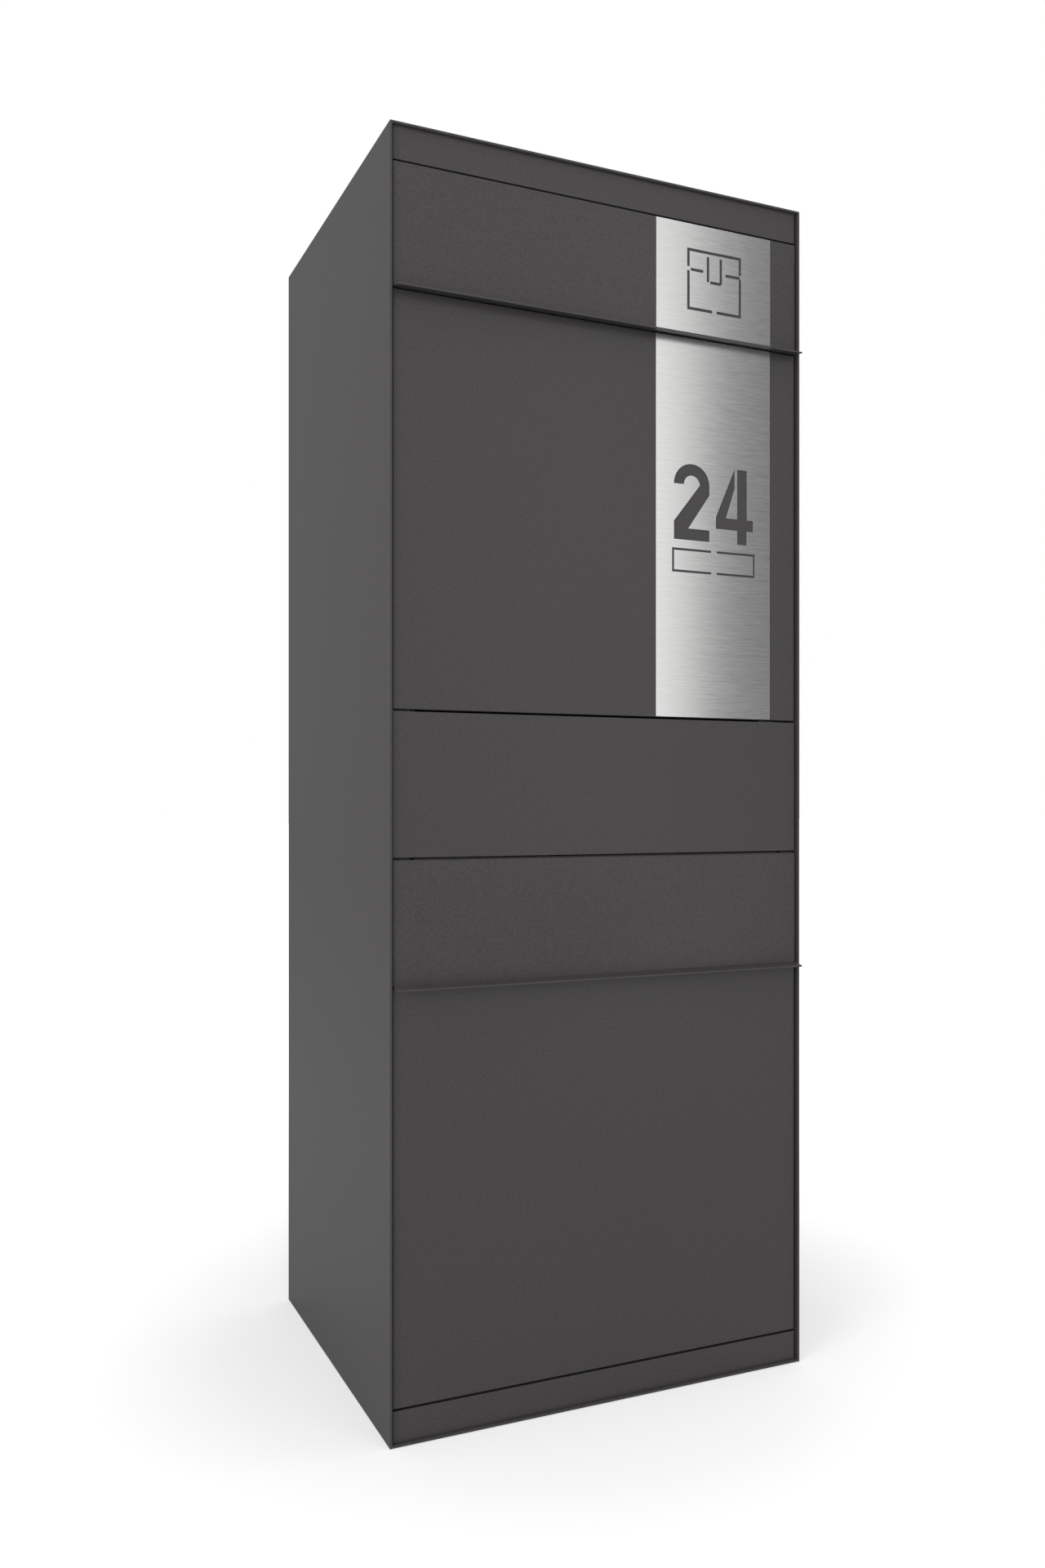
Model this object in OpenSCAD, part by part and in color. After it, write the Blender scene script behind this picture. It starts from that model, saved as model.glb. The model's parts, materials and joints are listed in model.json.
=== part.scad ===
// Free-standing mailbox unit with two compartments: a folded sheet cabinet, two
// fold-down doors that each carry a top-hung letter flap and a cam lock, and a
// blank service bay between them. Millimetres, +Z up, front towards -Y, origin
// at the centre of the cabinet's footprint.

/* [Cabinet] */
// Width over the side panels
cabinet_w = 410; // [400:5:450]
// Depth of the cabinet, without the flaps' lips
cabinet_d = 350; // [320:5:420]
// Height over the roof
cabinet_h = 1100; // [1095:1:1140]
// Sheet thickness of the outer shell
shell_t = 2; // [1.5:0.5:2]
// Sheet thickness of fronts, frames and shelves
sheet_t = 1.5; // [1:0.5:1.5]

/* [Front layout] */
// How far the fronts stand behind the cabinet's front rim
front_recess = 3.2; // [2.8:0.1:4]
// How far the flaps stand in front of the doors
flap_proud = 0.6; // [0.2:0.1:1]
// Gap between a front and the side panel
side_gap = 1.6; // [1.4:0.1:2.2]
// Seam above and below each door
seam = 1.9; // [1.8:0.1:2.5]
// Seam between the lower flap and the bay panel
bay_seam = 3.1; // [2:0.1:4]
// Height of the bottom fascia above the floor plate
plinth_h = 26.6; // [24:0.2:36]
// Height of one compartment's front, door and flap together
module_h = 455.2; // [440:0.2:456]
// Height of the blank panel between the compartments
bay_h = 122; // [110:1:125]

/* [Flaps] */
// Height of a flap down to the root of its lip
flap_h = 104.5; // [102:0.5:115]
// How far the lip stands out
lip_out = 12; // [8:1:16]
// How far the lip falls towards its front edge
lip_drop = 2.5; // [1:0.5:4]
// Seam between a lip and the door below it
lip_seam = 1; // [0.8:0.1:1.5]

/* [Steel plates] */
// Width of the stainless plates
plate_w = 124; // [100:2:130]
// Distance of the plates' centre line from the middle of the cabinet
plate_x = 110.8; // [90:0.2:115]
// Thickness of the stainless plates
plate_t = 0.8; // [0.5:0.1:0.8]

/* [Fixing] */
// Diameter of the anchor holes in the floor
anchor_d = 11; // [9:0.5:13]
// Distance between anchor holes across the width
anchor_dx = 300; // [200:10:340]
// Distance between anchor holes along the depth
anchor_dy = 240; // [180:10:260]
// Diameter of the wall holes in the back panel
wall_d = 9; // [7:0.5:11]
// Distance between wall holes across the width
wall_dx = 300; // [200:10:340]
// Distance between wall holes over the height
wall_dz = 650; // [500:10:680]

/* [Hidden] */

paint = [0.30, 0.30, 0.31];
zinc = [0.72, 0.73, 0.74];
steel = [0.80, 0.80, 0.79];
black = [0.08, 0.08, 0.08];

// Shell planes
half_w = cabinet_w / 2;
inner_w = half_w - shell_t;
front_y = -cabinet_d / 2;
back_y = cabinet_d / 2;
roof_z = cabinet_h - shell_t;
rear_flange = 17;
back_in = back_y - shell_t - sheet_t;

// Front planes and levels
face_y = front_y + front_recess;
flap_y = face_y - flap_proud;
front_w = 2 * (inner_w - side_gap);
plinth_top = shell_t + plinth_h;
lower_z = plinth_top + seam;
bay_z = lower_z + module_h + bay_seam;
bay_top = bay_z + bay_h;
upper_z = bay_top + seam;
fascia_z = upper_z + module_h + seam;
door_h = module_h - flap_h - lip_seam;

// Posts behind the fronts
post_in = 20.5;
post_y = face_y + post_in;
post_flange = 28;
post_leg = 35;
post_x = inner_w - post_flange;
screw_d = 4;
screw_head_d = 8;
screw_head_h = 2.5;
screw_in = 12;
screw_x = post_x + screw_in;
screw_edge = 8;
fascia_lip = 14;

// Doors
tray_d = 11;
frame_y = face_y + tray_d;
frame_back = frame_y + sheet_t;
frame_margin = 2;
frame_w = front_w - 2 * frame_margin;
frame_foot = 4;
frame_drop = 24;
slot_w = 330;
slot_drop = 78;
door_axis_in = 6;
door_axis_up = 12;
door_axis_y = face_y + door_axis_in;

// Hinge parts
hinge_in = 17;
hinge_x = front_w / 2 - hinge_in;
hinge_t = 2.5;
hinge_notch = 3.7;
hinge_pin_d = 4;
hinge_bore_d = 4.1;
arm_r = 4;
lug_t = 2;
lug_gap = 0.7;
lug_h = 8;
hinge_slot_h = 7;

// Flaps
flap_axis_in = 5.5;
flap_axis_down = 10;
flap_axis_y = flap_y + flap_axis_in;
flap_return = 9;
flap_crest = 3;
flap_side = 10;
flap_return_gap = 0.8;
upper_flap_rise = seam - flap_return_gap;
lower_flap_rise = bay_seam - flap_return_gap;
bracket_r = 3.4;
bracket_drop = 34;
bracket_foot = 14.5;
spring_r = 3.1;
spring_wire_r = 0.5;
spring_turns = 5.5;
spring_leg = 22;

// Locks
lock_x = 150;
lock_over_door = 14;
lock_up = door_h + lock_over_door;
lock_body_d = 16;
lock_collar_d = 20;
lock_collar_h = 3;
core_d = 10;
core_bore_d = 10.1;
cam_y = post_y + sheet_t + 1;
cam_t = 2;
cam_w = 12;
cam_l = 38;
tail_w = 5;
tail_l = 4;
cam_screw_d = 3;
cam_gap = 0.2;

// Letter guide
guide_run = 35;
guide_fall = 30;
guide_left = -160;
guide_right = 125;

// Shelves
shelf_rim = 20;
upper_shelf_gap = 0.7;
lower_shelf_gap = 1.3;
upper_shelf_z = upper_z - upper_shelf_gap;
lower_shelf_z = bay_z - lower_shelf_gap;
rail_w = 17;
wall_hole_z = 575;
grommet_z = bay_z + bay_h / 2;
grommet_d = 22;

round_fn = 48;

// ---------- helpers ----------

// A box between two corners
module span(a, b) {
    translate(a)
        cube(b - a);
}

// A cylinder along Y from y0 to y1
module bar_y(x, z, y0, y1, d) {
    translate([x, y1, z])
        rotate([90, 0, 0])
            cylinder(d = d, h = y1 - y0, $fn = round_fn);
}

// A cylinder along X from x0 to x1
module bar_x(x0, x1, y, z, d) {
    translate([x0, y, z])
        rotate([0, 90, 0])
            cylinder(d = d, h = x1 - x0, $fn = round_fn);
}

// A side profile, drawn with Y across and Z up, drawn out along X
module profile_x(x0, x1) {
    translate([x0, 0, 0])
        rotate([90, 0, 90])
            linear_extrude(x1 - x0)
                children();
}

// A front view, drawn with X across and Z up, from y0 back to y1
module front_view(y0, y1) {
    translate([0, y1, 0])
        rotate([90, 0, 0])
            linear_extrude(y1 - y0)
                children();
}

// Copies the children to the left and the right side
module both_sides() {
    for (side = [0, 1])
        mirror([side, 0, 0])
            children();
}

// ---------- shell ----------

module floor_plate() {
    color(paint)
        difference() {
            span([-inner_w, front_y, 0], [inner_w, back_in, shell_t]);
            for (x = [-anchor_dx / 2, anchor_dx / 2], y = [-anchor_dy / 2, anchor_dy / 2])
                translate([x, y, -1])
                    cylinder(d = anchor_d, h = shell_t + 2, $fn = round_fn);
        }
}

module roof_panel() {
    color(paint)
        span([-half_w, front_y, roof_z], [half_w, back_y, cabinet_h]);
}

back_screw_z = [60, 320, 560, 780, 1040];
back_screw_in = 7.5;
back_screw_x = inner_w - back_screw_in;

module right_side_panel() {
    color(paint)
        difference() {
            union() {
                span([inner_w, front_y, 0], [half_w, back_y, roof_z]);
                span([half_w - rear_flange, back_y - shell_t, 0], [half_w, back_y, roof_z]);
            }
            for (z = back_screw_z)
                bar_y(back_screw_x, z, back_in - 1, back_y + 1, screw_d);
        }
}

module left_side_panel() {
    mirror([1, 0, 0])
        right_side_panel();
}

module back_panel() {
    color(paint)
        difference() {
            span([-inner_w, back_in, shell_t], [inner_w, back_in + sheet_t, roof_z]);
            for (x = [-wall_dx / 2, wall_dx / 2], z = [-wall_dz / 2, wall_dz / 2])
                bar_y(x, wall_hole_z + z, back_in - 1, back_y, wall_d);
            for (x = [-back_screw_x, back_screw_x], z = back_screw_z)
                bar_y(x, z, back_in - 1, back_y, screw_d);
            bar_y(0, grommet_z, back_in - 1, back_y, grommet_d);
        }
}

module back_screws() {
    color(zinc)
        for (x = [-back_screw_x, back_screw_x], z = back_screw_z) {
            bar_y(x, z, back_in, back_y - 0.5, screw_d);
            bar_y(x, z, back_in - screw_head_h, back_in, screw_head_d);
        }
}

module cable_grommet() {
    flange_h = 1.8;
    bore_r = 7;
    wall_r = grommet_d / 2;
    lip_r = wall_r + 3;
    color(black)
        translate([0, back_in, grommet_z])
            rotate([-90, 0, 0])
                rotate_extrude($fn = round_fn)
                    polygon([
                        [bore_r, -flange_h], [lip_r, -flange_h], [lip_r, 0],
                        [wall_r, 0], [wall_r, sheet_t], [lip_r, sheet_t],
                        [lip_r, sheet_t + flange_h], [bore_r, sheet_t + flange_h]
                    ]);
}

// ---------- fixed fronts ----------

// Holes for the screws that hold the fixed fronts to the posts
module front_screw_holes(z) {
    for (x = [-screw_x, screw_x])
        bar_y(x, z, post_y - 4, post_y + 4, screw_d);
}

top_screw_z = fascia_z + screw_edge;
bay_screw_low = bay_z + screw_edge;
bay_screw_high = bay_top - screw_edge;
bottom_screw_z = plinth_top - screw_edge;
front_screw_z = [bottom_screw_z, bay_screw_low, bay_screw_high, top_screw_z];

module top_fascia() {
    lip_back = post_y - sheet_t;
    color(paint)
        difference() {
            union() {
                span([-front_w / 2, face_y, fascia_z], [front_w / 2, face_y + sheet_t, roof_z]);
                span([-front_w / 2, face_y, fascia_z], [front_w / 2, post_y, fascia_z + sheet_t]);
                span([-front_w / 2, lip_back, fascia_z], [front_w / 2, post_y, fascia_z + fascia_lip]);
                span([-front_w / 2, face_y, roof_z - sheet_t], [front_w / 2, frame_y, roof_z]);
            }
            front_screw_holes(top_screw_z);
        }
}

module bay_panel() {
    lip_back = post_y - sheet_t;
    color(paint)
        difference() {
            union() {
                span([-front_w / 2, face_y, bay_z], [front_w / 2, face_y + sheet_t, bay_top]);
                span([-front_w / 2, face_y, bay_z], [front_w / 2, post_y, bay_z + sheet_t]);
                span([-front_w / 2, face_y, bay_top - sheet_t], [front_w / 2, post_y, bay_top]);
                span([-front_w / 2, lip_back, bay_z], [front_w / 2, post_y, bay_z + fascia_lip]);
                span([-front_w / 2, lip_back, bay_top - fascia_lip], [front_w / 2, post_y, bay_top]);
            }
            front_screw_holes(bay_screw_low);
            front_screw_holes(bay_screw_high);
        }
}

module bottom_fascia() {
    lip_back = post_y - sheet_t;
    color(paint)
        difference() {
            union() {
                span([-front_w / 2, face_y, shell_t], [front_w / 2, face_y + sheet_t, plinth_top]);
                span([-front_w / 2, face_y, plinth_top - sheet_t], [front_w / 2, post_y, plinth_top]);
                span([-front_w / 2, lip_back, plinth_top - fascia_lip], [front_w / 2, post_y, plinth_top]);
                span([-front_w / 2, face_y, shell_t], [front_w / 2, frame_y, shell_t + sheet_t]);
            }
            front_screw_holes(bottom_screw_z);
        }
}

module front_screws() {
    shank_end = post_y - sheet_t - 1;
    head_y = post_y + sheet_t;
    color(zinc)
        for (x = [-screw_x, screw_x], z = front_screw_z) {
            bar_y(x, z, shank_end, head_y, screw_d);
            bar_y(x, z, head_y, head_y + screw_head_h, screw_head_d);
        }
}

// ---------- posts and shelves ----------

module right_front_post() {
    color(zinc)
        difference() {
            union() {
                span([post_x, post_y, shell_t], [inner_w, post_y + sheet_t, roof_z]);
                span([inner_w - sheet_t, post_y, shell_t], [inner_w, post_y + post_leg, roof_z]);
            }
            front_screw_holes(bottom_screw_z);
            front_screw_holes(bay_screw_low);
            front_screw_holes(bay_screw_high);
            front_screw_holes(top_screw_z);
        }
}

module left_front_post() {
    mirror([1, 0, 0])
        right_front_post();
}

// A shelf whose front rim runs between the posts; dir is -1 for a rim that
// hangs down and 1 for a rim that stands up
module shelf(z, dir) {
    wide = inner_w - sheet_t - 0.2;
    narrow = post_x - 0.5;
    step_y = post_y + post_leg + 1;
    rim_z = dir < 0 ? z - shelf_rim : z - sheet_t;
    color(zinc) {
        span([-wide, step_y, z - sheet_t], [wide, back_in, z]);
        span([-narrow, post_y, z - sheet_t], [narrow, step_y, z]);
        span([-narrow, post_y, rim_z], [narrow, post_y + sheet_t, rim_z + shelf_rim]);
    }
}

module upper_shelf() {
    shelf(upper_shelf_z, -1);
}

module lower_shelf() {
    shelf(lower_shelf_z + sheet_t, 1);
}

module shelf_rails() {
    rail_y0 = post_y + post_leg + 4;
    rail_y1 = back_in - 11;
    color(zinc)
        both_sides()
            for (z = [upper_shelf_z - sheet_t, lower_shelf_z]) {
                span([inner_w - sheet_t, rail_y0, z - shelf_rim], [inner_w, rail_y1, z]);
                span([inner_w - rail_w, rail_y0, z - sheet_t], [inner_w, rail_y1, z]);
            }
}

// ---------- hinges ----------

// Arms that reach forward from the posts to the door's hinge line
module hinge_arms(z0) {
    z = z0 + door_axis_up;
    color(zinc)
        both_sides()
            difference() {
                profile_x(hinge_x - hinge_t / 2, hinge_x + hinge_t / 2)
                    union() {
                        translate([door_axis_y, z])
                            circle(r = arm_r, $fn = round_fn);
                        translate([door_axis_y, z - arm_r])
                            square([post_y - door_axis_y, 2 * arm_r]);
                    }
                bar_x(hinge_x - hinge_t, hinge_x + hinge_t, door_axis_y, z, hinge_bore_d);
            }
}

module upper_hinge_arms() {
    hinge_arms(upper_z);
}

module lower_hinge_arms() {
    hinge_arms(lower_z);
}

// Two lugs beside each arm, between the door's outer panel and its frame
module hinge_lugs(z0) {
    z = z0 + door_axis_up;
    lug_x = hinge_t / 2 + lug_gap;
    color(zinc)
        both_sides()
            for (x = [hinge_x - lug_x - lug_t, hinge_x + lug_x])
                difference() {
                    span([x, face_y + sheet_t, z0 + sheet_t], [x + lug_t, frame_y, z + lug_h]);
                    bar_x(x - 1, x + lug_t + 1, door_axis_y, z, hinge_pin_d);
                }
}

module upper_hinge_lugs() {
    hinge_lugs(upper_z);
}

module lower_hinge_lugs() {
    hinge_lugs(lower_z);
}

module hinge_pins(z0) {
    z = z0 + door_axis_up;
    reach = hinge_t / 2 + lug_gap + lug_t;
    head_d = 6;
    head_h = 1;
    color(steel)
        both_sides() {
            bar_x(hinge_x - reach, hinge_x + reach, door_axis_y, z, hinge_pin_d);
            bar_x(hinge_x + reach, hinge_x + reach + head_h, door_axis_y, z, head_d);
        }
}

module upper_hinge_pins() {
    hinge_pins(upper_z);
}

module lower_hinge_pins() {
    hinge_pins(lower_z);
}

door_buffer_up = [60, 330];

module door_buffers() {
    buffer_in = 13;
    buffer_x = inner_w - buffer_in;
    buffer_d = 10;
    buffer_gap = 0.3;
    tip_y = frame_back + buffer_gap;
    color(black)
        for (x = [-buffer_x, buffer_x], z0 = [lower_z, upper_z], up = door_buffer_up)
            bar_y(x, z0 + up, tip_y, post_y, buffer_d);
}

// ---------- doors ----------

// Outer door panel: a shallow folded tray, notched where the hinge arms pass
module door_panel(z0) {
    w = front_w / 2;
    top = z0 + door_h;
    color(paint)
        difference() {
            span([-w, face_y, z0], [w, frame_y, top]);
            span([-w + sheet_t, face_y + sheet_t, z0 + sheet_t],
                 [w - sheet_t, frame_y + 1, top - sheet_t]);
            both_sides()
                span([hinge_x - hinge_notch / 2, face_y + sheet_t, z0 - 1],
                     [hinge_x + hinge_notch / 2, frame_y + 1, z0 + sheet_t + 1]);
        }
}

module upper_door_panel() {
    door_panel(upper_z);
}

module lower_door_panel() {
    door_panel(lower_z);
}

// Inner frame plate with the letter slot, the hinge slots and the lock hole
module door_frame(z0) {
    top = z0 + module_h - frame_drop;
    slot_z = z0 + module_h - slot_drop;
    color(zinc)
        difference() {
            span([-frame_w / 2, frame_y, z0 + frame_foot], [frame_w / 2, frame_back, top]);
            span([-slot_w / 2, frame_y - 1, slot_z], [slot_w / 2, frame_back + 1, top + 1]);
            both_sides()
                span([hinge_x - hinge_notch / 2, frame_y - 1, z0],
                     [hinge_x + hinge_notch / 2, frame_back + 1, z0 + door_axis_up + hinge_slot_h]);
            bar_y(lock_x, z0 + lock_up, frame_y - 1, frame_back + 1, lock_body_d);
        }
}

module upper_door_frame() {
    door_frame(upper_z);
}

module lower_door_frame() {
    door_frame(lower_z);
}

// Sloped guide that drops letters into the compartment and shields the slot
module letter_guide(z0) {
    top = z0 + module_h - slot_drop;
    flange_h = 12;
    color(zinc)
        profile_x(guide_left, guide_right)
            polygon([
                [frame_back, top - flange_h], [frame_back, top],
                [frame_back + sheet_t, top], [frame_back + guide_run, top - guide_fall],
                [frame_back + guide_run, top - guide_fall - 2 * sheet_t],
                [frame_back + sheet_t, top - 2 * sheet_t], [frame_back + sheet_t, top - flange_h]
            ]);
}

module upper_letter_guide() {
    letter_guide(upper_z);
}

module lower_letter_guide() {
    letter_guide(lower_z);
}

// Brackets on the door frame that hold the flap's rod
module flap_brackets(z0) {
    z = z0 + module_h - flap_axis_down;
    foot = frame_y - flap_axis_y;
    color(zinc)
        both_sides()
            difference() {
                profile_x(hinge_x - hinge_t / 2, hinge_x + hinge_t / 2)
                    translate([flap_axis_y, z])
                        union() {
                            circle(r = bracket_r, $fn = round_fn);
                            polygon([
                                [-bracket_r, 0], [-bracket_r, -bracket_drop],
                                [foot, -bracket_drop], [foot, -bracket_foot], [bracket_r, 0]
                            ]);
                        }
                bar_x(hinge_x - hinge_t, hinge_x + hinge_t, flap_axis_y, z, hinge_bore_d);
            }
}

module upper_flap_brackets() {
    flap_brackets(upper_z);
}

module lower_flap_brackets() {
    flap_brackets(lower_z);
}

module flap_buffers(z0) {
    buffer_d = 8;
    buffer_x = 120;
    buffer_up = 12;
    buffer_gap = 0.3;
    z = z0 + door_h + lip_seam + buffer_up;
    color(black)
        for (x = [-buffer_x, buffer_x])
            bar_y(x, z, flap_y + sheet_t + buffer_gap, frame_y, buffer_d);
}

module upper_flap_buffers() {
    flap_buffers(upper_z);
}

module lower_flap_buffers() {
    flap_buffers(lower_z);
}

// ---------- flaps ----------

// Flap panel: front sheet with its sloping lip, a top return that slopes up to
// a crest and runs back level, and side returns
module flap_panel(z0, rise) {
    w = front_w / 2;
    top = z0 + module_h;
    root = top - flap_h;
    axis_z = top - flap_axis_down;
    return_y = flap_y + flap_return;
    crest_y = flap_y + flap_crest;
    slope = rise / flap_crest;
    inner = tan(atan(slope) / 2);
    color(paint)
        difference() {
            union() {
                profile_x(-w, w)
                    polygon([
                        [flap_y + sheet_t, top + sheet_t * (slope * (1 - inner) - 1)],
                        [crest_y + sheet_t * inner, top + rise - sheet_t],
                        [return_y, top + rise - sheet_t], [return_y, top + rise],
                        [crest_y, top + rise], [flap_y, top], [flap_y, root + sheet_t],
                        [flap_y - lip_out, root - lip_drop + sheet_t],
                        [flap_y - lip_out, root - lip_drop], [flap_y, root],
                        [flap_y + sheet_t, root]
                    ]);
                both_sides()
                    span([w - sheet_t, flap_y, root], [w, flap_y + flap_side, top]);
            }
            both_sides()
                span([hinge_x - hinge_notch / 2, flap_y + sheet_t, top - sheet_t - 1],
                     [hinge_x + hinge_notch / 2, return_y + 1, top + rise + 1]);
            bar_x(-half_w, half_w, flap_axis_y, axis_z, hinge_pin_d);
        }
}

module upper_flap_panel() {
    flap_panel(upper_z, upper_flap_rise);
}

module lower_flap_panel() {
    flap_panel(lower_z, lower_flap_rise);
}

module flap_rod(z0) {
    color(steel)
        bar_x(-front_w / 2, front_w / 2, flap_axis_y, z0 + module_h - flap_axis_down, hinge_pin_d);
}

module upper_flap_rod() {
    flap_rod(upper_z);
}

module lower_flap_rod() {
    flap_rod(lower_z);
}

// Torsion spring round the rod's left end: a coil with two legs hanging down
spring_steps = 77;
spring_x0 = -inner_w + side_gap + 2.4;
spring_x1 = -hinge_x - hinge_t / 2 - 1.4;

function coil_point(i) =
    let (a = 360 * spring_turns * i / spring_steps)
    [spring_x0 + (spring_x1 - spring_x0) * i / spring_steps, spring_r * cos(a), spring_r * sin(a)];

spring_path = concat(
    [[spring_x0, spring_r, -spring_leg]],
    [for (i = [0:spring_steps]) coil_point(i)],
    [[spring_x1, -spring_r, -spring_leg]]
);

function unit(v) = v / norm(v);

// Corners of the wire's section at one point of the path
function wire_ring(i) =
    let (
        last = len(spring_path) - 1,
        ahead = spring_path[min(i + 1, last)] - spring_path[max(i - 1, 0)],
        along = unit(ahead),
        side = unit(cross(along, [1, 0, 0])),
        up = cross(side, along)
    )
    [for (k = [0:5]) spring_path[i] + spring_wire_r * (cos(60 * k) * side + sin(60 * k) * up)];

module flap_spring(z0) {
    rings = len(spring_path);
    points = [for (i = [0:rings - 1]) each wire_ring(i)];
    walls = [for (i = [0:rings - 2], k = [0:5])
        each [
            [6 * i + k, 6 * i + (k + 1) % 6, 6 * (i + 1) + k],
            [6 * i + (k + 1) % 6, 6 * (i + 1) + (k + 1) % 6, 6 * (i + 1) + k]
        ]
    ];
    first_cap = [for (k = [1:4]) [0, k + 1, k]];
    end_point = 6 * (rings - 1);
    last_cap = [for (k = [1:4]) [end_point, end_point + k, end_point + k + 1]];
    color(steel)
        translate([0, flap_axis_y, z0 + module_h - flap_axis_down])
            polyhedron(points = points, faces = concat(walls, first_cap, last_cap));
}

module upper_flap_spring() {
    flap_spring(upper_z);
}

module lower_flap_spring() {
    flap_spring(lower_z);
}

// ---------- locks ----------

module lock_housing(z0) {
    z = z0 + lock_up;
    color(zinc)
        difference() {
            union() {
                bar_y(lock_x, z, frame_y - lock_collar_h, frame_y, lock_collar_d);
                bar_y(lock_x, z, frame_y, cam_y - cam_gap, lock_body_d);
            }
            bar_y(lock_x, z, frame_y - lock_collar_h - 1, cam_y + 1, core_bore_d);
        }
}

module upper_lock_housing() {
    lock_housing(upper_z);
}

module lower_lock_housing() {
    lock_housing(lower_z);
}

module lock_nut(z0) {
    nut_d = 23;
    nut_h = 4;
    color(zinc)
        translate([lock_x, frame_back + nut_h, z0 + lock_up])
            rotate([90, 0, 0])
                difference() {
                    cylinder(d = nut_d, h = nut_h, $fn = 6);
                    translate([0, 0, -1])
                        cylinder(d = lock_body_d, h = nut_h + 2, $fn = round_fn);
                }
}

module upper_lock_nut() {
    lock_nut(upper_z);
}

module lower_lock_nut() {
    lock_nut(lower_z);
}

// Rotating core with its keyhole and the square tail that drives the cam
module lock_core(z0) {
    z = z0 + lock_up;
    half_tail = tail_w / 2;
    core_front = frame_y - lock_collar_h - 0.4;
    key_w = 1.8;
    key_h = 7;
    key_d = 8;
    color(steel)
        difference() {
            union() {
                bar_y(lock_x, z, core_front, cam_y, core_d);
                span([lock_x - half_tail, cam_y, z - half_tail],
                     [lock_x + half_tail, cam_y + tail_l, z + half_tail]);
            }
            span([lock_x - key_w / 2, core_front - 1, z - key_h / 2],
                 [lock_x + key_w / 2, core_front + key_d, z + key_h / 2]);
            bar_y(lock_x, z, cam_y, cam_y + tail_l + 1, cam_screw_d);
        }
}

module upper_lock_core() {
    lock_core(upper_z);
}

module lower_lock_core() {
    lock_core(lower_z);
}

// Cam in its open position, pointing down
module lock_cam(z0) {
    z = z0 + lock_up;
    boss_r = 8;
    color(zinc)
        front_view(cam_y, cam_y + cam_t)
            difference() {
                union() {
                    translate([lock_x, z])
                        circle(r = boss_r, $fn = round_fn);
                    translate([lock_x - cam_w / 2, z - cam_l])
                        square([cam_w, cam_l]);
                }
                translate([lock_x - tail_w / 2, z - tail_w / 2])
                    square(tail_w);
            }
}

module upper_lock_cam() {
    lock_cam(upper_z);
}

module lower_lock_cam() {
    lock_cam(lower_z);
}

module cam_screw(z0) {
    z = z0 + lock_up;
    seat_y = cam_y + tail_l;
    color(steel) {
        bar_y(lock_x, z, cam_y + 0.5, seat_y, cam_screw_d);
        bar_y(lock_x, z, seat_y, seat_y + screw_head_h, screw_head_d);
    }
}

module upper_cam_screw() {
    cam_screw(upper_z);
}

module lower_cam_screw() {
    cam_screw(lower_z);
}

// ---------- stainless plates ----------

// A straight cut between two points, with square ends
module stroke(a, b, w) {
    d = b - a;
    translate(a)
        rotate(atan2(d[1], d[0]))
            translate([0, -w / 2])
                square([norm(d), w]);
}

// Generic parcel sign: a plain box seen from the front, cut as a stencil
module parcel_sign() {
    box_w = 56;
    box_h = 54;
    line = 2.6;
    bridge = 2.5;
    flap_line = box_h / 6;
    tape_w = 14;
    h = box_h / 2;
    w = box_w / 2;
    stroke([-w, h], [w, h], line);
    stroke([-w, -h], [-bridge, -h], line);
    stroke([bridge, -h], [w, -h], line);
    both_sides() {
        stroke([w, h + line / 2], [w, flap_line + bridge], line);
        stroke([w, flap_line - line / 2], [w, -h - line / 2], line);
        stroke([tape_w / 2, h - line / 2 - bridge], [tape_w / 2, 0], line);
    }
    stroke([-w + bridge, flap_line], [-tape_w / 2 - bridge - line, flap_line], line);
    stroke([tape_w / 2 + bridge + line, flap_line], [w, flap_line], line);
    stroke([-tape_w / 2 + bridge, 0], [tape_w / 2, 0], line);
}

digit_h = 70;
digit_s = 10.5;
two_r = 19;
four_w = 41;

// A plain stencil figure two
module figure_two() {
    r = two_r;
    mid = digit_h - r;
    neck = 8;
    heel = 15;
    shin = 6;
    intersection() {
        translate([r, mid])
            difference() {
                circle(r = r, $fn = round_fn);
                circle(r = r - digit_s, $fn = round_fn);
            }
        translate([0, mid])
            square([2 * r, r]);
    }
    polygon([
        [2 * r - digit_s, mid], [2 * r, mid], [2 * r, mid - neck],
        [heel, digit_s], [0, digit_s], [0, digit_s + shin]
    ]);
    square([2 * r, digit_s]);
}

// A plain stencil figure four, its foot free of its slanted arm
module figure_four() {
    stem_x = 23.5;
    bar_z = 13;
    bridge = 3;
    arm_top = 18;
    arm_foot = 11;
    translate([stem_x, 0])
        square([digit_s, digit_h]);
    translate([0, bar_z])
        square([four_w, digit_s]);
    polygon([
        [stem_x - bridge, digit_h], [stem_x - bridge, digit_h - arm_top],
        [arm_foot, bar_z + digit_s], [0, bar_z + digit_s]
    ]);
}

// Blank name field: an outlined strip with two bridges
module name_field() {
    field_w = 88;
    field_h = 20;
    line = 2;
    bridge = 3;
    both_sides() {
        stroke([bridge, field_h / 2], [field_w / 2, field_h / 2], line);
        stroke([bridge, -field_h / 2], [field_w / 2, -field_h / 2], line);
        stroke([field_w / 2, -field_h / 2 - line / 2], [field_w / 2, field_h / 2 + line / 2], line);
    }
}

digit_base = upper_z + 163.5;
name_base = upper_z + 144.5;
sign_z = upper_z + module_h - 51.4;
digits_w = 86;
plate_gap = 0.5;

module pictogram_plate() {
    top = upper_z + module_h - plate_gap;
    bottom = upper_z + module_h - flap_h + sheet_t + plate_gap;
    color(steel)
        front_view(flap_y - plate_t, flap_y)
            difference() {
                translate([plate_x - plate_w / 2, bottom])
                    square([plate_w, top - bottom]);
                translate([plate_x, sign_z])
                    parcel_sign();
            }
}

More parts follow.
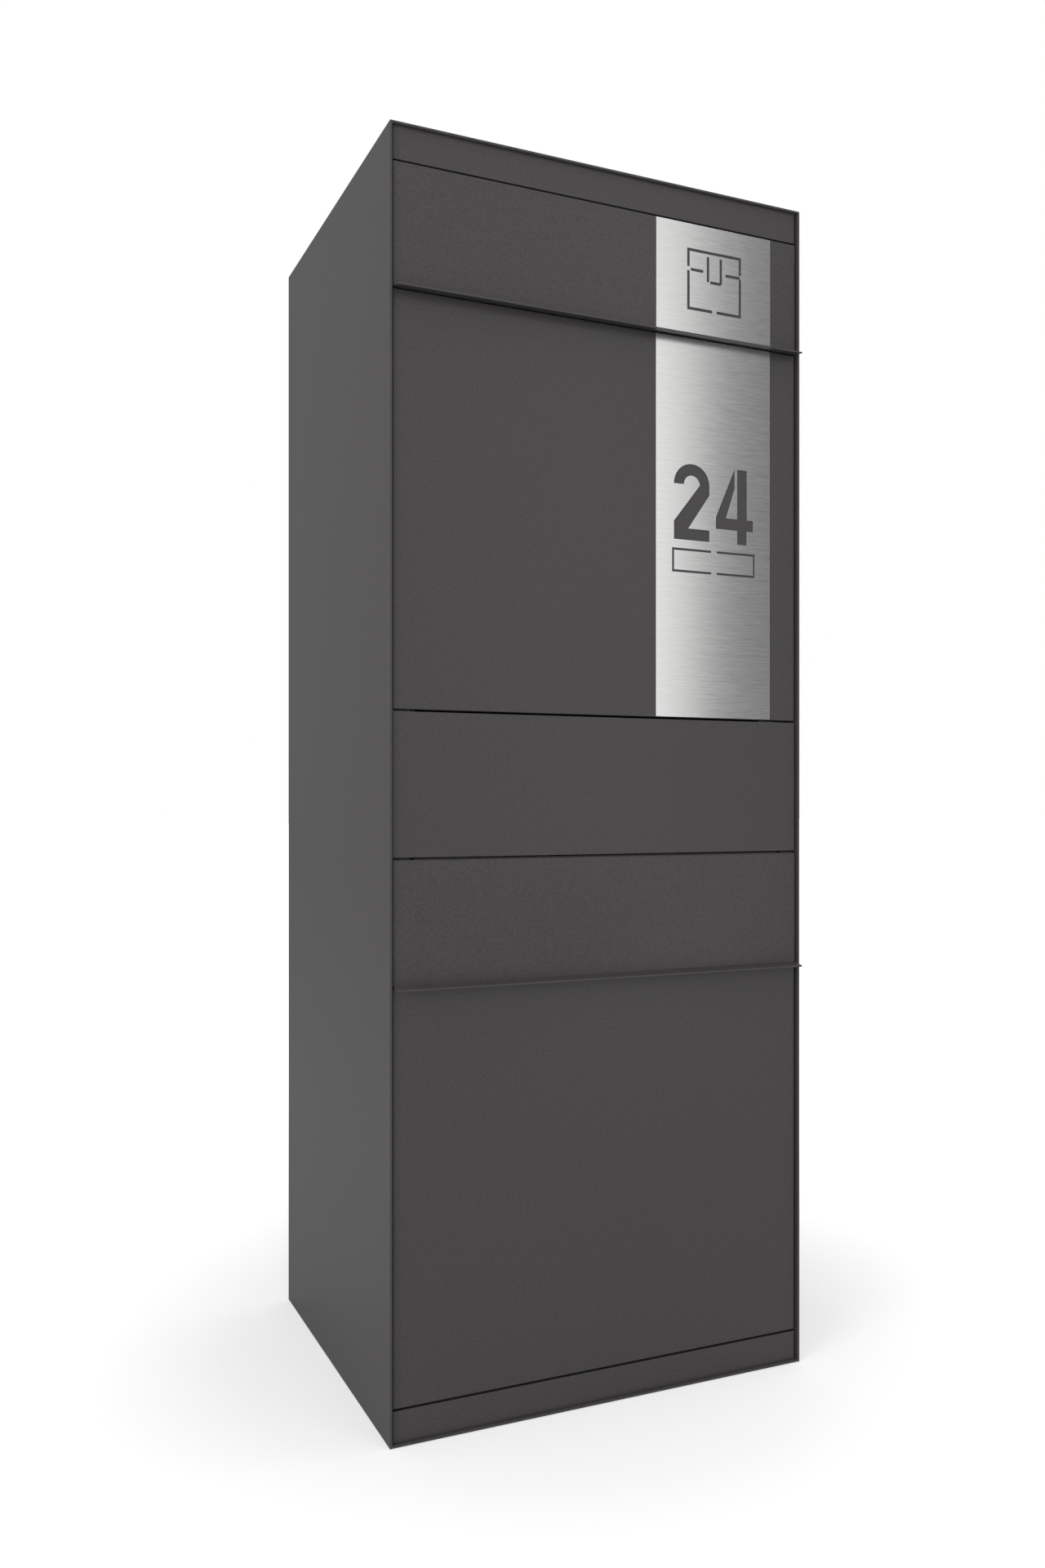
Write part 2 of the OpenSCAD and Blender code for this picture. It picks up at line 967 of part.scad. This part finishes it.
module number_plate() {
    top = upper_z + door_h - plate_gap;
    bottom = upper_z + plate_gap;
    color(steel)
        front_view(face_y - plate_t, face_y)
            difference() {
                translate([plate_x - plate_w / 2, bottom])
                    square([plate_w, top - bottom]);
                translate([plate_x - digits_w / 2, digit_base]) {
                    figure_two();
                    translate([digits_w - four_w, 0])
                        figure_four();
                }
                translate([plate_x, name_base])
                    name_field();
            }
}

floor_plate();
roof_panel();
left_side_panel();
right_side_panel();
back_panel();
top_fascia();
bay_panel();
bottom_fascia();
left_front_post();
right_front_post();
upper_shelf();
lower_shelf();
shelf_rails();
upper_hinge_arms();
lower_hinge_arms();
door_buffers();
front_screws();
back_screws();
cable_grommet();
upper_door_panel();
number_plate();
upper_door_frame();
upper_hinge_lugs();
upper_hinge_pins();
upper_flap_brackets();
upper_letter_guide();
upper_lock_housing();
upper_lock_nut();
upper_flap_buffers();
upper_flap_panel();
pictogram_plate();
upper_flap_rod();
upper_flap_spring();
upper_lock_core();
upper_lock_cam();
upper_cam_screw();
lower_door_panel();
lower_door_frame();
lower_hinge_lugs();
lower_hinge_pins();
lower_flap_brackets();
lower_letter_guide();
lower_lock_housing();
lower_lock_nut();
lower_flap_buffers();
lower_flap_panel();
lower_flap_rod();
lower_flap_spring();
lower_lock_core();
lower_lock_cam();
lower_cam_screw();
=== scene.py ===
import json
import math

import bmesh
import bpy
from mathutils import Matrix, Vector


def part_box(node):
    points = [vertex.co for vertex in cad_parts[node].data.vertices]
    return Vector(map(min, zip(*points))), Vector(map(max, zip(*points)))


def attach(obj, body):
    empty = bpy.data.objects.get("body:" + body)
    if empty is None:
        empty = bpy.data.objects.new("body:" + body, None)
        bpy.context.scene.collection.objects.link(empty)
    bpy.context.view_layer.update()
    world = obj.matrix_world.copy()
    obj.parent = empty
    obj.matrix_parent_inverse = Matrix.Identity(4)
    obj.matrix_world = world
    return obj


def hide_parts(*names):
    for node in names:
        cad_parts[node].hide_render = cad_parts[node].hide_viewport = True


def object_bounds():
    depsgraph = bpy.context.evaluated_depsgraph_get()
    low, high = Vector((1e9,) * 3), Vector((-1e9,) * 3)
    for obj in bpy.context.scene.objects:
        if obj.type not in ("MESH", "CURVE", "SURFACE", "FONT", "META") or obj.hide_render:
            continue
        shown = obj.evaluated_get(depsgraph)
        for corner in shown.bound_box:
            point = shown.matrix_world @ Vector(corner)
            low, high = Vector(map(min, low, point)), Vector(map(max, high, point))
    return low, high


# Looks of the mailbox unit: softened sheet edges, finishes, studio and camera.
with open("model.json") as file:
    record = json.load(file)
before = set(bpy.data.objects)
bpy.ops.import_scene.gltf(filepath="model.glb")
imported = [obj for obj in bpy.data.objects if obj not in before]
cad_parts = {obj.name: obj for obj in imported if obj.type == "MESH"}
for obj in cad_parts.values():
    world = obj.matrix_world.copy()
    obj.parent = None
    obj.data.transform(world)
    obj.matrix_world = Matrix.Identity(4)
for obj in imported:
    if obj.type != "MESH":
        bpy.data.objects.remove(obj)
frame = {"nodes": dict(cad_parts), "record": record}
CAD_BOX = [list(v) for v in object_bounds()]
NODES = frame["nodes"]
RECORD = frame["record"]
NODE_SLOT = {p["node"]: p["material_slot"] for p in RECORD["subparts"]}
NODE_BODY = {n: b for b, members in RECORD["behaviour"]["bodies"].items() for n in members}
TOUCH = 1e-5


# ---------------------------------------------------------------- camera

def make_camera():
    """Stands front left of the unit at half its height and looks level."""
    data = bpy.data.cameras.new("camera")
    data.sensor_width = 36.0
    data.lens = 29.40
    data.shift_y = 0.0109
    data.clip_start = 0.01
    data.clip_end = 60
    cam = bpy.data.objects.new("camera", data)
    cam.location = (-0.5355, -1.1866, 0.536)
    cam.rotation_euler = (math.radians(90), 0, math.radians(-24))
    bpy.context.scene.collection.objects.link(cam)
    bpy.context.scene.camera = cam


make_camera()


# ---------------------------------------------------------------- node helpers

class Shader:
    """A material's node tree with short calls for the nodes used here."""

    def __init__(self, name):
        self.mat = bpy.data.materials.new(name)
        self.mat.use_nodes = True
        self.tree = self.mat.node_tree
        self.tree.nodes.clear()
        self.out = self.tree.nodes.new("ShaderNodeOutputMaterial")
        self.bsdf = self.tree.nodes.new("ShaderNodeBsdfPrincipled")
        self.link(self.bsdf.outputs[0], self.out.inputs["Surface"])
        self.coord = self.tree.nodes.new("ShaderNodeTexCoord").outputs["Object"]

    def link(self, a, b):
        self.tree.links.new(a, b)

    def set(self, **values):
        for key, value in values.items():
            self.bsdf.inputs[key.replace("_", " ")].default_value = value

    def stretched(self, scale):
        node = self.tree.nodes.new("ShaderNodeMapping")
        node.inputs["Scale"].default_value = scale
        self.link(self.coord, node.inputs["Vector"])
        return node.outputs["Vector"]

    def noise(self, scale, detail=2.0, rough=0.5, vector=None):
        node = self.tree.nodes.new("ShaderNodeTexNoise")
        node.inputs["Scale"].default_value = scale
        node.inputs["Detail"].default_value = detail
        node.inputs["Roughness"].default_value = rough
        self.link(vector or self.coord, node.inputs["Vector"])
        return node.outputs["Fac"]

    def cells(self, scale, output="Color"):
        node = self.tree.nodes.new("ShaderNodeTexVoronoi")
        node.inputs["Scale"].default_value = scale
        self.link(self.coord, node.inputs["Vector"])
        return node.outputs[output]

    def span(self, value, low, high, frm=0.3, to=0.7):
        node = self.tree.nodes.new("ShaderNodeMapRange")
        node.inputs["From Min"].default_value = frm
        node.inputs["From Max"].default_value = to
        node.inputs["To Min"].default_value = low
        node.inputs["To Max"].default_value = high
        self.link(value, node.inputs["Value"])
        return node.outputs["Result"]

    def mix(self, value, a, b):
        node = self.tree.nodes.new("ShaderNodeMix")
        node.data_type = "RGBA"
        for socket, colour in ((node.inputs[6], a), (node.inputs[7], b)):
            if hasattr(colour, "is_output"):
                self.link(colour, socket)
            else:
                socket.default_value = (*colour, 1)
        self.link(value, node.inputs[0])
        return node.outputs[2]

    def math(self, kind, a, b):
        node = self.tree.nodes.new("ShaderNodeMath")
        node.operation = kind
        for socket, v in ((node.inputs[0], a), (node.inputs[1], b)):
            if hasattr(v, "is_output"):
                self.link(v, socket)
            else:
                socket.default_value = v
        return node.outputs[0]

    def bump(self, height, distance, strength=1.0, under=None):
        node = self.tree.nodes.new("ShaderNodeBump")
        node.inputs["Distance"].default_value = distance
        node.inputs["Strength"].default_value = strength
        self.link(height, node.inputs["Height"])
        if under:
            self.link(under, node.inputs["Normal"])
        return node.outputs["Normal"]

    def up(self):
        """How far the surface faces up, from 0 to 1."""
        geo = self.tree.nodes.new("ShaderNodeNewGeometry")
        split = self.tree.nodes.new("ShaderNodeSeparateXYZ")
        self.link(geo.outputs["Normal"], split.inputs[0])
        return self.span(split.outputs["Z"], 0.0, 1.0, 0.35, 0.95)


def powder_coat(name, dark, light):
    """Fine matt powder coat: a pebbled skin, very faint mottling, and a little dust where it faces up."""
    s = Shader(name)
    grain = s.noise(1900, 2.0, 0.6)
    pebble = s.noise(640, 3.0, 0.65)
    cloud = s.noise(5.5, 2.0, 0.5)
    skin = s.math("ADD", s.math("MULTIPLY", pebble, 0.7), s.math("MULTIPLY", grain, 0.3))
    body = s.mix(s.span(skin, 0.0, 1.0, 0.38, 0.62), dark, light)
    shade = s.mix(s.span(cloud, 0.0, 0.10), body, tuple(c * 1.05 for c in dark))
    dust = s.math("MULTIPLY", s.up(), s.span(s.noise(38, 4.0, 0.6), 0.0, 0.05))
    s.link(s.mix(dust, shade, (0.20, 0.19, 0.18)), s.bsdf.inputs["Base Color"])
    s.link(s.span(skin, 0.33, 0.41, 0.35, 0.65), s.bsdf.inputs["Roughness"])
    under = s.bump(pebble, 0.00012, 0.45)
    s.link(s.bump(grain, 0.00005, 0.5, under), s.bsdf.inputs["Normal"])
    s.set(Metallic=0.0, Specular_IOR_Level=0.55, IOR=1.5)
    return s.mat


def brushed_steel(name, tone, tone_dark):
    """Stainless sheet brushed crosswise: what it mirrors is drawn out up and down."""
    s = Shader(name)
    fine = s.noise(1.0, 3.0, 0.7, s.stretched((70, 900, 2600)))
    strokes = s.noise(1.0, 2.0, 0.5, s.stretched((26, 300, 1100)))
    both = s.math("ADD", s.math("MULTIPLY", fine, 0.7), s.math("MULTIPLY", strokes, 0.3))
    s.link(s.mix(s.span(both, 0.0, 1.0, 0.36, 0.64), tone_dark, tone), s.bsdf.inputs["Base Color"])
    s.link(s.span(both, 0.20, 0.245, 0.35, 0.65), s.bsdf.inputs["Roughness"])
    s.link(s.bump(both, 0.000015, 0.25), s.bsdf.inputs["Normal"])
    tangent = s.tree.nodes.new("ShaderNodeTangent")
    tangent.direction_type = "RADIAL"
    tangent.axis = "Z"
    s.link(tangent.outputs[0], s.bsdf.inputs["Tangent"])
    s.set(Metallic=1.0, Anisotropic=0.8, Anisotropic_Rotation=0.25)
    return s.mat


def galvanised(name):
    """Hot-dip zinc: spangles a few millimetres across, each with its own tone and gloss."""
    s = Shader(name)
    cell = s.cells(150)
    tone = s.mix(s.span(s.noise(60, 2.0), 0.0, 1.0), (0.44, 0.46, 0.47), (0.62, 0.64, 0.65))
    split = s.tree.nodes.new("ShaderNodeSeparateColor")
    s.link(cell, split.inputs[0])
    spangle = s.mix(s.span(split.outputs[0], 0.0, 0.35, 0.0, 1.0), tone, (0.36, 0.38, 0.40))
    s.link(spangle, s.bsdf.inputs["Base Color"])
    s.link(s.span(split.outputs[1], 0.34, 0.56, 0.0, 1.0), s.bsdf.inputs["Roughness"])
    s.link(s.bump(s.noise(900, 3.0), 0.00003, 0.5), s.bsdf.inputs["Normal"])
    s.set(Metallic=0.9)
    return s.mat


def plated(name, dark, light, rough_low, rough_high, grain):
    """Zinc or chrome plate on small hardware, with handling marks and a faint drawn grain."""
    s = Shader(name)
    blotch = s.noise(180, 3.0, 0.6)
    drawn = s.noise(1.0, 2.0, 0.6, s.stretched(grain))
    s.link(s.mix(s.span(blotch, 0.0, 1.0), dark, light), s.bsdf.inputs["Base Color"])
    s.link(s.span(blotch, rough_low, rough_high), s.bsdf.inputs["Roughness"])
    s.link(s.bump(drawn, 0.00002, 0.4), s.bsdf.inputs["Normal"])
    s.set(Metallic=1.0)
    return s.mat


def rubber(name):
    """Moulded black rubber: dull, very slightly bloomed."""
    s = Shader(name)
    bloom = s.noise(240, 4.0, 0.65)
    tone = s.mix(s.span(bloom, 0.0, 1.0), (0.012, 0.012, 0.012), (0.034, 0.034, 0.033))
    s.link(tone, s.bsdf.inputs["Base Color"])
    s.link(s.span(bloom, 0.62, 0.82), s.bsdf.inputs["Roughness"])
    s.link(s.bump(s.noise(1600, 2.0), 0.00005, 0.5), s.bsdf.inputs["Normal"])
    s.set(Specular_IOR_Level=0.35)
    return s.mat


FINISH = {
    "anthracite_paint": powder_coat("anthracite_paint", (0.0540, 0.0495, 0.0514), (0.0850, 0.0779, 0.0809)),
    "stainless": brushed_steel("stainless", (0.76, 0.755, 0.75), (0.64, 0.635, 0.63)),
    "galvanised": galvanised("galvanised"),
    "bright_steel": plated(
        "bright_steel", (0.50, 0.50, 0.49), (0.66, 0.66, 0.64), 0.24, 0.42, (300, 300, 4000)),
    "lock_chrome": plated(
        "lock_chrome", (0.66, 0.66, 0.66), (0.80, 0.80, 0.80), 0.10, 0.24, (900, 900, 900)),
    "black_rubber": rubber("black_rubber"),
}


def dress(obj, slot):
    obj.data.materials.clear()
    obj.data.materials.append(FINISH[slot])


# ---------------------------------------------------------------- softened sheet parts

FLAT_EDGE = math.radians(0.3)
SHARP_EDGE = math.radians(35)
SHARP_SHADING = math.radians(32)


def softened(node, edge_r, bend_r=0.0, is_bend=None):
    """A copy of a CAD sheet part with its cut edges broken and its bends rounded, which stands for the node.
    is_bend says of an edge's two ends whether it is a bend."""
    mesh = NODES[node].data.copy()
    bm = bmesh.new()
    bm.from_mesh(mesh)
    bmesh.ops.remove_doubles(bm, verts=bm.verts, dist=1e-6)
    bmesh.ops.dissolve_limit(bm, angle_limit=FLAT_EDGE, verts=bm.verts, edges=bm.edges)
    weight = bm.edges.layers.float.new("bevel_weight_edge")
    widest = max(edge_r, bend_r)
    for edge in bm.edges:
        if len(edge.link_faces) != 2 or edge.calc_face_angle(0) < SHARP_EDGE:
            continue
        bend = is_bend and is_bend(edge.verts[0].co, edge.verts[1].co)
        edge[weight] = (bend_r if bend else edge_r) / widest
    for face in bm.faces:
        face.smooth = True
    bm.to_mesh(mesh)
    bm.free()
    mesh.set_sharp_from_angle(angle=SHARP_SHADING)
    rough = bpy.data.objects.new(node + "_rough", mesh)
    bpy.context.scene.collection.objects.link(rough)
    bevel = rough.modifiers.new("bevel", "BEVEL")
    bevel.limit_method = "WEIGHT"
    bevel.width = widest
    bevel.segments = 3 if bend_r else 2
    bevel.harden_normals = True
    final = bpy.data.meshes.new_from_object(rough.evaluated_get(bpy.context.evaluated_depsgraph_get()))
    bpy.data.objects.remove(rough)
    piece = bpy.data.objects.new(node + "_sheet", final)
    bpy.context.scene.collection.objects.link(piece)
    dress(piece, NODE_SLOT[node])
    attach(piece, NODE_BODY[node])
    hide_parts(node)
    return piece


for name, obj in NODES.items():
    dress(obj, NODE_SLOT[name])


def at_front(node):
    """Tells the edges in the plane of a front's face."""
    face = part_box(node)[0].y + TOUCH
    return lambda a, b: a.y < face and b.y < face


def at_top(a, b):
    """Tells the roof's upper edges."""
    return min(a.z, b.z) > CAD_BOX[1][2] - TOUCH


def at_back_corner(a, b):
    """Tells the upright bend between a side panel and its rear flange."""
    outside = CAD_BOX[1][0] - TOUCH
    return min(abs(a.x), abs(b.x)) > outside and min(a.y, b.y) > 0 and abs(a.z - b.z) > 0.5


def along_width(a, b):
    """Tells a flap's long edges."""
    return abs(a.x - b.x) > 0.2


for wall in ("left_side_panel", "right_side_panel"):
    softened(wall, 0.00050, 0.0017, at_back_corner)
softened("roof_panel", 0.00025, 0.0006, at_top)
softened("back_panel", 0.00015)
softened("floor_plate", 0.00025)
for front in ("top_fascia", "bay_panel", "bottom_fascia", "upper_door_panel", "lower_door_panel"):
    softened(front, 0.00020, 0.0008, at_front(front))
for flap in ("upper_flap_panel", "lower_flap_panel"):
    softened(flap, 0.00020, 0.0007, along_width)
for plate in ("number_plate", "pictogram_plate"):
    softened(plate, 0.00010)


# ---------------------------------------------------------------- studio

def make_floor():
    """A pale floor that shows white further out, and keeps the unit's soft shadow close in."""
    reach_m = 30
    below = -0.0004
    corners = [(x * reach_m, y * reach_m, 0) for x, y in ((-1, -1), (1, -1), (1, 1), (-1, 1))]
    mesh = bpy.data.meshes.new("floor")
    mesh.from_pydata(corners, [], [(0, 1, 2, 3)])
    floor = bpy.data.objects.new("floor", mesh)
    floor.location = (0, 0, below)
    bpy.context.scene.collection.objects.link(floor)
    s = Shader("floor")
    s.set(Roughness=0.9, Specular_IOR_Level=0.0)
    reach = s.tree.nodes.new("ShaderNodeVectorMath")
    reach.operation = "LENGTH"
    s.link(s.coord, reach.inputs[0])
    glow = s.tree.nodes.new("ShaderNodeEmission")
    glow.inputs["Color"].default_value = (1, 1, 1, 1)
    path = s.tree.nodes.new("ShaderNodeLightPath")
    tone = s.mix(path.outputs["Is Glossy Ray"], (0.88, 0.88, 0.88), (0.66, 0.66, 0.66))
    s.link(tone, s.bsdf.inputs["Base Color"])
    near = s.span(reach.outputs["Value"], 0.42, 1.0, 0.30, 1.3)
    s.link(s.math("MULTIPLY", path.outputs["Is Camera Ray"], near), glow.inputs["Strength"])
    add = s.tree.nodes.new("ShaderNodeAddShader")
    s.link(s.bsdf.outputs[0], add.inputs[0])
    s.link(glow.outputs[0], add.inputs[1])
    s.link(add.outputs[0], s.out.inputs["Surface"])
    mesh.materials.append(s.mat)


def make_world():
    """White to the camera. To the unit it is a soft studio whose brightness changes with the compass
    bearing, with a dim gap in front and to the right."""
    world = bpy.data.worlds.new("studio")
    bpy.context.scene.world = world
    world.use_nodes = True
    tree = world.node_tree
    tree.nodes.clear()
    out = tree.nodes.new("ShaderNodeOutputWorld")
    coord = tree.nodes.new("ShaderNodeTexCoord")
    split = tree.nodes.new("ShaderNodeSeparateXYZ")
    tree.links.new(coord.outputs["Generated"], split.inputs[0])
    ramp = tree.nodes.new("ShaderNodeValToRGB")
    ramp.color_ramp.interpolation = "EASE"
    bearing = tree.nodes.new("ShaderNodeMath")
    bearing.operation = "ARCTAN2"
    tree.links.new(split.outputs["Y"], bearing.inputs[0])
    tree.links.new(split.outputs["X"], bearing.inputs[1])
    turn = tree.nodes.new("ShaderNodeMapRange")
    turn.inputs["From Min"].default_value = -math.pi
    turn.inputs["From Max"].default_value = math.pi
    tree.links.new(bearing.outputs[0], turn.inputs["Value"])
    tree.links.new(turn.outputs["Result"], ramp.inputs["Fac"])
    by_bearing = [
        (0.00, 0.58), (0.12, 0.60), (0.25, 0.62), (0.30, 0.60), (0.331, 0.61), (0.343, 0.20), (0.40, 0.26),
        (0.48, 0.60), (0.62, 0.60), (0.75, 0.42), (0.80, 0.34), (0.90, 0.50), (1.00, 0.58),
    ]
    elements = ramp.color_ramp.elements
    while len(elements) < len(by_bearing):
        elements.new(0.5)
    for element, (place, value) in zip(elements, by_bearing):
        element.position = place
        element.color = (value, value, value, 1)
    soft = tree.nodes.new("ShaderNodeBackground")
    soft.inputs["Strength"].default_value = 0.97
    tree.links.new(ramp.outputs["Color"], soft.inputs["Color"])
    white = tree.nodes.new("ShaderNodeBackground")
    white.inputs["Color"].default_value = (1, 1, 1, 1)
    white.inputs["Strength"].default_value = 1.0
    path = tree.nodes.new("ShaderNodeLightPath")
    mix = tree.nodes.new("ShaderNodeMixShader")
    tree.links.new(path.outputs["Is Camera Ray"], mix.inputs[0])
    tree.links.new(soft.outputs[0], mix.inputs[1])
    tree.links.new(white.outputs[0], mix.inputs[2])
    tree.links.new(mix.outputs[0], out.inputs["Surface"])


def softbox(name, place, aim, size, power):
    """A rectangular lamp that the camera doesn't see. Metres and watts."""
    data = bpy.data.lights.new(name, "AREA")
    data.shape = "RECTANGLE"
    data.size, data.size_y = size
    data.energy = power
    lamp = bpy.data.objects.new(name, data)
    lamp.location = place
    lamp.rotation_euler = (Vector(aim) - Vector(place)).to_track_quat("-Z", "Y").to_euler()
    bpy.context.scene.collection.objects.link(lamp)
    lamp.visible_camera = False


make_floor()
make_world()
softbox("light_left", (-3.3, -1.9, 1.1), (0, 0, 0.5), (1.5, 2.6), 40)
softbox("light_top", (0.1, -0.8, 3.6), (0, 0, 0.6), (2.4, 1.6), 17)
softbox("light_strip", (1.045, -2.04, 0.9), (0.11, -0.17, 0.9), (0.34, 2.8), 2.5)

bpy.context.scene.view_settings.view_transform = "Standard"
